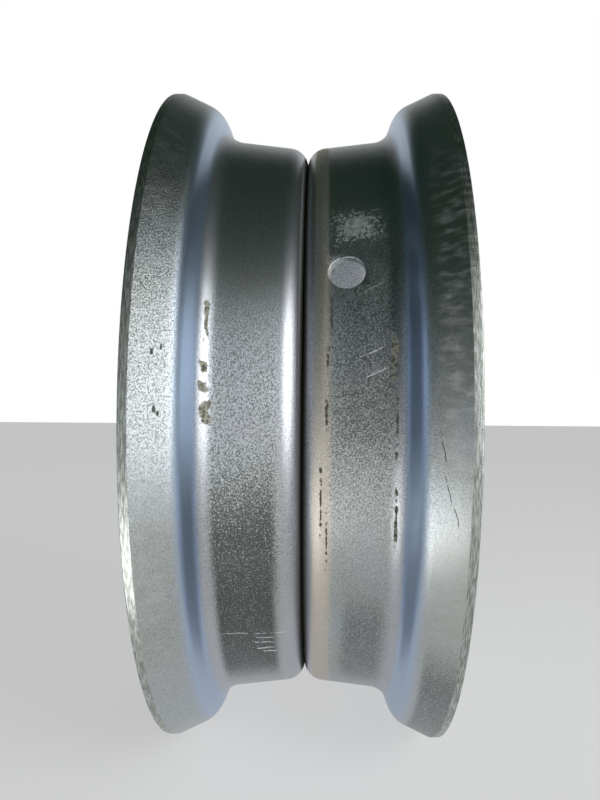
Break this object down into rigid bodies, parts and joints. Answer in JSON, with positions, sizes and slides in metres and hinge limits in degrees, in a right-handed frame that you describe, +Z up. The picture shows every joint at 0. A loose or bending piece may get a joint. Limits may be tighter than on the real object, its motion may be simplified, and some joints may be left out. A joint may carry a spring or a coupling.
{
  "type": "garden tiller wheel rim",
  "caption": "Two-piece pressed steel wheel rim for a garden tiller, flared lips and a valve hole in the bead seat, with a flat web that bolts to a wheel hub.",
  "frame": {"origin": "centre of the rim: on the spin axis, in the plane where the two webs meet", "axes": "+Y along the spin axis towards the half with the valve hole, +X towards the side where the valve hole is, +Z up"},
  "size_m": [0.2332, 0.0894, 0.2332],
  "materials": {
    "zinc_sheet": "matt blue-passivated zinc plating, finely grained",
    "zinc_fastener": "satin zinc plating"
  },
  "bodies": {
    "root": {"rim_half_plain": "zinc_sheet", "rim_half_valve": "zinc_sheet", "clamp_bolts": "zinc_fastener", "flat_washers": "zinc_fastener", "spring_washers": "zinc_fastener", "clamp_nuts": "zinc_fastener"}
  },
  "joints": []
}
